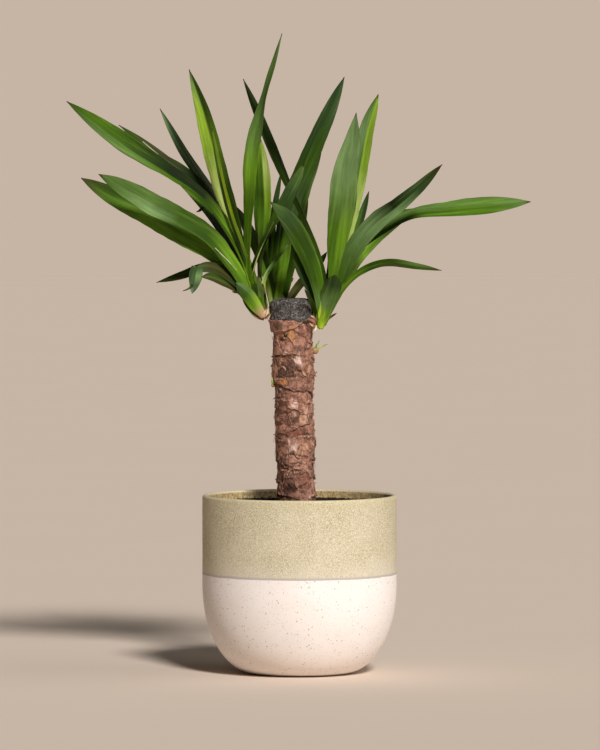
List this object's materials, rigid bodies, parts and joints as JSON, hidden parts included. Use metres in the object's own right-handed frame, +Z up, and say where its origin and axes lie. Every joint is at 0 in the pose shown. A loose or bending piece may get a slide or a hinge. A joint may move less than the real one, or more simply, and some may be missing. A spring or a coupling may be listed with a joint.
{
  "type": "potted yucca",
  "caption": "Potted house plant: a thick bark-covered trunk with a sealed cut top and heads of sword-shaped leaves, standing in soil in a round two-tone stoneware pot.",
  "frame": {"origin": "centre of the flat face under the pot that it stands on", "axes": "+Z up along the pot's axis, +X to the plant's right as seen from the front, -Y to the front"},
  "size_m": [0.4505, 0.2453, 0.6242],
  "materials": {
    "stoneware": "satin speckled glaze above, pale speckled clay below",
    "soil": "dark moist potting mix",
    "bark": "rough peeling bark",
    "wax": "rough granular sealing wax",
    "leaf": "waxy green blade",
    "sprout": "young pale green blade"
  },
  "bodies": {
    "root": {"pot": "stoneware", "soil": "soil", "trunk": "bark", "wax_cap": "wax", "left_shoot": "leaf", "right_shoot": "leaf", "back_shoot": "leaf", "right_bud": "sprout", "left_bud": "sprout", "front_bud": "sprout"}
  },
  "joints": []
}
